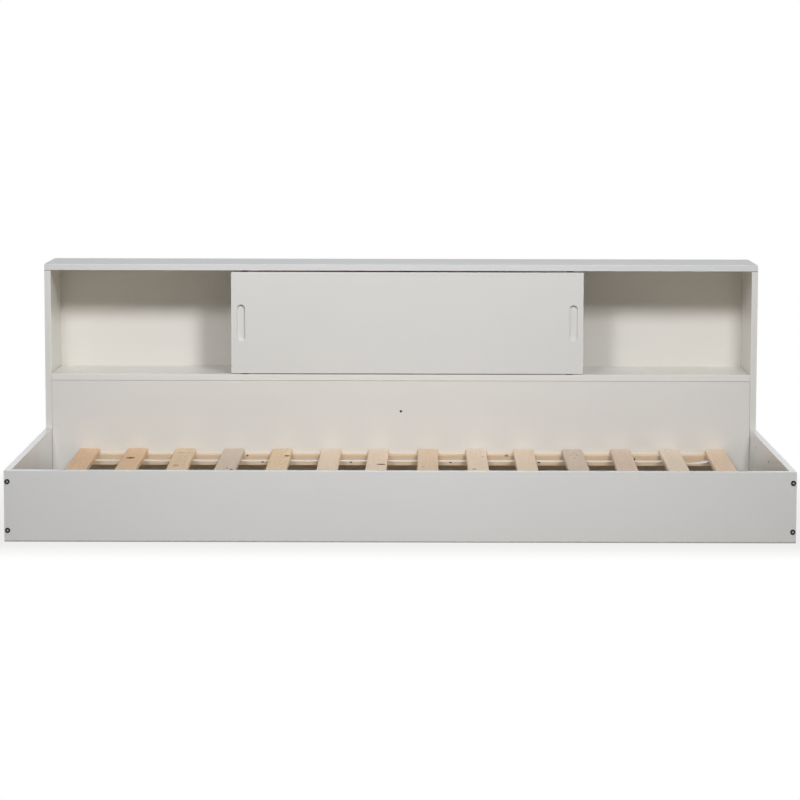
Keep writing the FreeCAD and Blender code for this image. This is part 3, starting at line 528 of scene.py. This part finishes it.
for number, (tone, contrast) in enumerate(SLATS, start=1):
    slat = f"slat_{number:02d}"
    marks = tuple(mark for owner, *mark in SLAT_MARKS if owner == number)
    timber = Timber(SLAT_SEED + number, tone, contrast, marks)
    dress(slat, pine(slat, "yxz", timber, slat_turn(slat)))


# Ribbons and staples
# Two white woven tapes under the slats keep them apart. Each is stapled to every slat and runs
# nearly taut between them; the back one is twisted where it comes to the last slat.

WHITE_YARN = chart(252, 246, 236)
YARN_GAP = chart(228, 219, 206)
WARP_SPACING = 0.0011
WEFT_SPACING = 0.0014
TAPE_SOIL = (12.0, 60.0, 60.0)
TAPE_SHEEN = 0.2
TAPE_ROUGHNESS = 0.85
TAPE_RELIEF = 0.00018


def webbing():
    """Plain-woven tape: warp and weft threads that pass over and under by turns."""
    material, shader, place = new_material("white_webbing", sheen=TAPE_SHEEN)
    along, across, _ = place.axes()
    warp = (across * (math.pi / WARP_SPACING)).maths("SINE")
    weft = (along * (math.pi / WEFT_SPACING)).maths("SINE")
    over = (warp * weft) * 0.5 + 0.5
    fuzz = place.noise(2500.0, detail=2.0)
    soil = place.noise(TAPE_SOIL)
    colour = (over * 0.45 + fuzz * 0.5 + soil * 0.3 + 0.5).mix(YARN_GAP, WHITE_YARN)
    feed(shader, colour, fuzz * 0.1 + TAPE_ROUGHNESS, (over + fuzz * 0.3).bump(TAPE_RELIEF))
    return material


TAUT_GAP = (0.0008, 1.0, 0.06, 0.06)
TURNED_GAP = (0.0062, 0.6, -0.1, 0.2)
SLAT_HALF_WIDTH = 0.029
ROWS_PER_GAP = 14
LEAN_EASE = 6
POINTS_ACROSS = 9
SELVEDGE = 0.0004


def tape_stations(node, turned):
    """How far along the tape each of its cross-sections is, how far it has dropped there and how it
    leans. A gap is how far the tape drops, a power that moves the drop to the left where it is under
    1, and how far the tape leans to the front at the gap's left and right."""
    low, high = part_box(node)
    middle = (low.y + high.y) / 2
    edges = []
    for number in range(1, len(SLATS) + 1):
        slat = f"slat_{number:02d}"
        centre = sum(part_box(slat), Vector()) / 2
        crossing = centre.x + (middle - centre.y) * math.tan(slat_turn(slat))
        edges.append((crossing - SLAT_HALF_WIDTH, crossing + SLAT_HALF_WIDTH))
    stations = [(low.x, 0.0, 0.0)]
    for gap, ((_, start), (end, _)) in enumerate(zip(edges, edges[1:]), start=1):
        drop, skew, lean_left, lean_right = TURNED_GAP if gap in turned else TAUT_GAP
        for row in range(ROWS_PER_GAP + 1):
            share = row / ROWS_PER_GAP
            sag = drop * math.sin(math.pi * share ** skew)
            lean = (lean_left + (lean_right - lean_left) * share) * (1 - (2 * share - 1) ** LEAN_EASE)
            stations.append((start + (end - start) * share, sag, lean))
    stations.append((high.x, 0.0, 0.0))
    return stations


def tape_mesh(node, stations):
    """A flat closed tube through the stations, thinner at the tape's two selvedges."""
    low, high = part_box(node)
    middle = (low.y + high.y) / 2
    half_width = (high.y - low.y) / 2
    half_thickness = (high.z - low.z) / 2
    mesh = bmesh.new()
    rings = []
    for place, drop, lean in stations:
        section = []
        for face in (1, -1):
            for step in range(POINTS_ACROSS):
                share = (2 * step / (POINTS_ACROSS - 1) - 1) * face
                rounding = SELVEDGE if abs(share) == 1 else 0.0
                out = share * half_width
                off = face * (half_thickness - rounding)
                depth = out * math.cos(lean) - off * math.sin(lean)
                height = out * math.sin(lean) + off * math.cos(lean)
                level = high.z - half_thickness - drop + height
                section.append(mesh.verts.new((place, middle + depth, level)))
        rings.append(section)
    for first, second in zip(rings, rings[1:]):
        for corner in range(len(first)):
            after = (corner + 1) % len(first)
            mesh.faces.new((first[corner], second[corner], second[after], first[after]))
    mesh.faces.new(rings[0])
    mesh.faces.new(reversed(rings[-1]))
    bmesh.ops.recalc_face_normals(mesh, faces=mesh.faces)
    data = bpy.data.meshes.new(f"woven_{node}")
    mesh.to_mesh(data)
    mesh.free()
    for polygon in data.polygons:
        polygon.use_smooth = True
    return data


def ribbon(node, cloth, turned=()):
    """The tape as it hangs: flat against each slat, nearly taut between them, turned over in some
    gaps."""
    stations = tape_stations(node, turned)
    tape = bpy.data.objects.new(f"woven_{node}", tape_mesh(node, stations))
    tape.data.materials.append(cloth)
    bpy.context.scene.collection.objects.link(tape)
    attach(tape, "bed")
    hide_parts(node)


LAST_GAP = len(SLATS) - 1

tape_cloth = webbing()
ribbon("front_ribbon", tape_cloth)
ribbon("back_ribbon", tape_cloth, turned=(LAST_GAP,))
dress("ribbon_staples", zinc)


# Cabinet sides, top and shelf
# The carcass of the storage cabinet behind the mattress, from the same painted board. Cam fittings
# and dowels hold it together; their zinc discs show on the inside of the boards.

WARM_PAINT = (chart(241, 238, 229), chart(236, 233, 224))
BRIGHT_PAINT = (chart(245, 242, 233), chart(240, 237, 228))
TOP_PAINT = (chart(237, 236, 231), chart(232, 231, 226))
TOP_DUST = 0.28
SIDE_JOINTS = ((2, 1, 0.0016),)
SHELF_JOINTS = ((0, 1, 0.0006), (0, -1, 0.0006))

for board in ("cabinet_left_side", "cabinet_right_side"):
    dress(board, painted(board, *WARM_PAINT, joints=SIDE_JOINTS))
dress("cabinet_top", painted("cabinet_top", *TOP_PAINT, dust=TOP_DUST))
dress("cabinet_shelf", painted("cabinet_shelf", *BRIGHT_PAINT, joints=SHELF_JOINTS))
dress("cam_bolts", zinc)
dress("cam_discs", zinc)
dress("cabinet_dowels", dowel_wood)


# Lower panel, centre support and centre screw
# The board that closes the rear of the mattress well under the shelf, and the upright board behind
# it that carries the shelf. One dark screw in the panel's middle goes into the upright.

LOWER_PANEL_JOINTS = ((0, 1, 0.0009), (0, -1, 0.0009))

dress("lower_panel", painted("lower_panel", *WARM_PAINT, joints=LOWER_PANEL_JOINTS))
dress("centre_support", painted("centre_support"))
dress("centre_screw", black_steel)


# Centre divider and back panel
# An upright board behind the door carries the top at mid length. A thin painted panel, let into
# the rear edges and fixed with small screws, closes the cabinet's back.

CREAM_PAINT = (chart(245, 240, 230), chart(240, 235, 224))

dress("centre_divider", painted("centre_divider", *WARM_PAINT))
dress("cabinet_back_panel", painted("cabinet_back_panel", *CREAM_PAINT))
dress("divider_dowels", dowel_wood)
dress("back_panel_screws", zinc)


# Sliding door
# A painted door over half the front with a routed finger pull near each end. Dark plastic guides
# plugged into its edges run in grooves in the shelf and the top; its top edge is painted dark as
# shade.

DOOR_PAINT = (chart(236, 234, 227), chart(231, 229, 222))
# Painted shade: the door's top edge is darkened for the gap under the top.
DOOR_TOP_SHADE = ((2, 1, 0.0006),)
DARK_PLASTIC = (chart(46, 42, 38), chart(34, 31, 28))

dress("sliding_door", painted("sliding_door", *DOOR_PAINT, joints=DOOR_TOP_SHADE))
guide_plastic = moulded("dark_plastic", *DARK_PLASTIC)
dress("door_bottom_glides", guide_plastic)
dress("door_top_guides", guide_plastic)


# Studio
# A pale floor that keeps the shade close to the bed, a white room, two soft lamps in front, a screen
# and a low lamp at each end, one lamp behind, and the camera far in front, slightly above the bed.

WHITE = (1.0, 1.0, 1.0, 1.0)
FLOOR_COLOUR = chart(155, 145, 132)
FLOOR_HALF = 30.0
FLOOR_CORNERS = ((-1, -1), (1, -1), (1, 1), (-1, 1))
SHADE_REACH = 0.3
EDGE_WHITE = 0.8
FOOT_BLEND = 0.004
PANEL_BLEND = 0.002
REAR_SHADE_REACH = 0.1


def seen_white(nodes):
    """1 for what the camera sees directly, in a reflection or through glass, otherwise 0."""
    path = nodes.new("ShaderNodeLightPath")
    camera, glossy, through = (
        Value(path.outputs[name]) for name in ("Is Camera Ray", "Is Glossy Ray", "Is Transmission Ray")
    )
    return camera.most(glossy).most(through)


def floor_white(place):
    """How white the floor is seen: less so close to the bed and in the cabinet's open rear, and not
    at all in the well."""
    across, deep, _ = place.axes()
    middle = (cad_low + cad_high) / 2
    half = (cad_high - cad_low) / 2
    past_end = (across - middle.x).maths("ABSOLUTE") - half.x
    past_side = (deep - middle.y).maths("ABSOLUTE") - half.y
    out_end, out_side = past_end.most(0.0), past_side.most(0.0)
    away = (out_end * out_end + out_side * out_side) ** 0.5
    outside = past_end.most(past_side).rise(-FOOT_BLEND, 0.0)
    around = outside * (away.rise(0.0, SHADE_REACH) * (1.0 - EDGE_WHITE) + EDGE_WHITE)
    panel_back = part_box("lower_panel")[1].y
    behind = deep.rise(panel_back - PANEL_BLEND, panel_back)
    rear = behind * deep.rise(panel_back - REAR_SHADE_REACH, cad_high.y)
    return around.most(rear * EDGE_WHITE)


def studio_floor():
    data = bpy.data.meshes.new("studio_floor")
    corners = [(x * FLOOR_HALF, y * FLOOR_HALF, cad_low.z) for x, y in FLOOR_CORNERS]
    data.from_pydata(corners, [], [range(4)])
    floor = bpy.data.objects.new("studio_floor", data)
    bpy.context.scene.collection.objects.link(floor)
    material = bpy.data.materials.new("studio_floor")
    material.use_nodes = True
    nodes = material.node_tree.nodes
    nodes.clear()
    output = nodes.new("ShaderNodeOutputMaterial")
    place = Value(nodes.new("ShaderNodeTexCoord").outputs["Object"])
    white = floor_white(place) * seen_white(nodes)
    matt = place.node("BsdfDiffuse", {}, {"Color": FLOOR_COLOUR})
    glow = place.node("Emission", {}, {"Color": WHITE, "Strength": 1.0})
    mixed = place.node("MixShader", {}, {0: white, 1: matt, 2: glow})
    material.node_tree.links.new(mixed.socket, output.inputs["Surface"])
    data.materials.append(material)


ROOM_LIGHT = 0.01


def studio_room():
    world = bpy.data.worlds.new("studio_room")
    bpy.context.scene.world = world
    world.use_nodes = True
    nodes = world.node_tree.nodes
    background = nodes["Background"]
    background.inputs["Color"].default_value = WHITE
    strength = seen_white(nodes) * (1.0 - ROOM_LIGHT) + ROOM_LIGHT
    world.node_tree.links.new(strength.socket, background.inputs["Strength"])


LAMP_COLOUR = (0.975, 1.008, 1.08)
LAMP_SIZE = 0.9
SCREEN_SIZE = 2.0
NARROW = math.radians(105)
WIDE = math.radians(180)
LAMPS = (
    ("left_lamp", (-1.13, -3.565, 2.84), (0.25, 0.33, 0.95), LAMP_SIZE, NARROW, 22.5),
    ("right_lamp", (1.264, -3.565, 2.84), (-0.65, 0.33, 0.95), LAMP_SIZE, NARROW, 34.0),
    ("left_screen", (-3.1, -0.3, 2.1), (0.0, -0.1, 0.1), SCREEN_SIZE, WIDE, 13.0),
    ("right_screen", (3.1, -0.3, 2.1), (0.0, -0.1, 0.1), SCREEN_SIZE, WIDE, 17.0),
    ("left_side_lamp", (-4.2, 0.15, 0.5), (0.0, 0.15, 0.3), LAMP_SIZE, WIDE, 14.0),
    ("right_side_lamp", (4.2, 0.15, 0.5), (0.0, 0.15, 0.3), LAMP_SIZE, WIDE, 21.0),
    ("back_lamp", (0.0, 4.6, 1.3), (0.0, 0.6, 0.45), LAMP_SIZE, WIDE, 80.0),
)


def studio_lamp(name, place, aim, size, spread, power):
    data = bpy.data.lights.new(name, "AREA")
    data.shape = "DISK"
    data.size = size
    data.spread = spread
    data.energy = power
    data.color = LAMP_COLOUR
    lamp = bpy.data.objects.new(name, data)
    bpy.context.scene.collection.objects.link(lamp)
    lamp.location = place
    lamp.visible_camera = False
    lamp.visible_glossy = False
    lamp.rotation_euler = (Vector(aim) - Vector(place)).to_track_quat("-Z", "Y").to_euler()


CAMERA_PLACE = (0.0113, -8.3499, 1.2308)
CAMERA_PITCH = 0.11019
CAMERA_YAW = 0.00181
CAMERA_ROLL = -0.00203
CAMERA_LENS = 135.636
CAMERA_SENSOR = 36.0


def studio_camera():
    data = bpy.data.cameras.new("camera")
    data.lens = CAMERA_LENS
    data.sensor_width = CAMERA_SENSOR
    camera = bpy.data.objects.new("camera", data)
    bpy.context.scene.collection.objects.link(camera)
    camera.location = CAMERA_PLACE
    camera.rotation_euler = (math.pi / 2 - CAMERA_PITCH, CAMERA_ROLL, CAMERA_YAW)
    bpy.context.scene.camera = camera


studio_floor()
studio_room()
for lamp in LAMPS:
    studio_lamp(*lamp)
studio_camera()
bpy.context.scene.view_settings.view_transform = "Standard"
